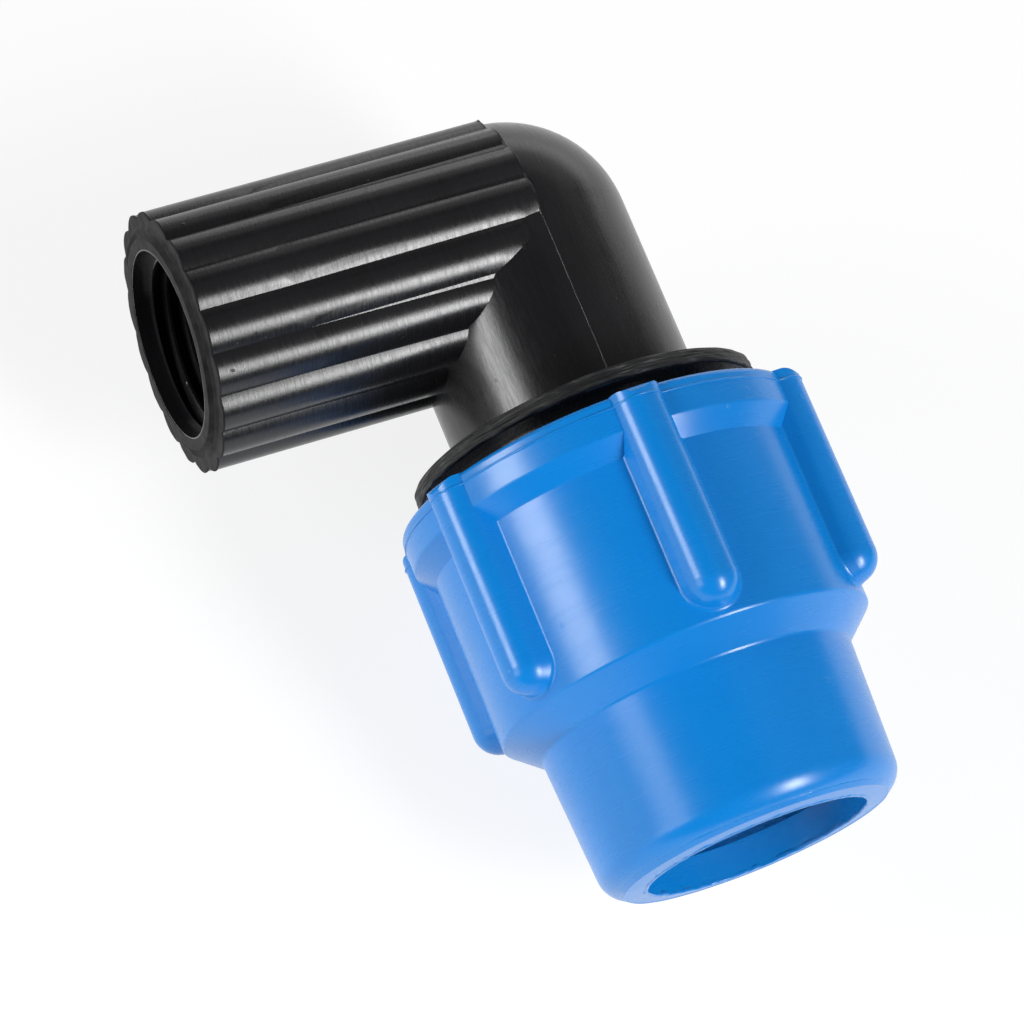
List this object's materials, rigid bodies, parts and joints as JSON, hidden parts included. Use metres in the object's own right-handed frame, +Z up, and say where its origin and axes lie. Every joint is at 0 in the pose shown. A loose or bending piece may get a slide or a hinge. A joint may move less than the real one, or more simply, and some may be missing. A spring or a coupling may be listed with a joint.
{
  "type": "pipe compression elbow",
  "caption": "90 degree elbow that joins a 25 mm plastic pipe, gripped by a screwed compression nut, to a G 1/2 male thread.",
  "frame": {"origin": "on the branch axis, where the female thread starts, 1.8 mm inside the branch mouth", "axes": "-X out of the threaded branch, -Y out of the nut's pipe mouth, +Z up with the fitting lying on its side"},
  "size_m": [0.0642, 0.0886, 0.0498],
  "materials": {
    "body_black": "satin, faintly scuffed",
    "nut_blue": "semi-gloss",
    "grip_white": "matte",
    "bush_black": "matte",
    "seal_rubber": "matte"
  },
  "bodies": {
    "elbow": {"elbow_body": "body_black"},
    "grip": {"grip_ring": "grip_white"},
    "nut": {"compression_nut": "nut_blue"},
    "bush": {"thrust_bush": "bush_black"},
    "seal": {"seal_ring": "seal_rubber"}
  },
  "joints": [
    {"name": "grip_slide", "type": "slide", "parent": "elbow", "child": "grip", "axis": [0, -1, 0], "range_m": [-0.00225, 0.0181]},
    {"name": "nut_turn", "type": "hinge", "parent": "grip", "child": "nut", "pos_m": [0.0391, 0, 0], "axis": [0, -1, 0], "range_deg": [-200, 1620]},
    {"name": "bush_slide", "type": "slide", "parent": "elbow", "child": "bush", "axis": [0, -1, 0], "range_m": [-0.00096, 0.0076]},
    {"name": "seal_slide", "type": "slide", "parent": "elbow", "child": "seal", "axis": [0, -1, 0], "range_m": [-0.00051, 0.004]}
  ],
  "couplings": [
    {"joint": "grip_slide", "follows": "nut_turn", "m_per_rad": 0.00063662},
    {"joint": "bush_slide", "follows": "nut_turn", "m_per_rad": 0.00026528},
    {"joint": "seal_slide", "follows": "nut_turn", "m_per_rad": 0.00013796}
  ]
}
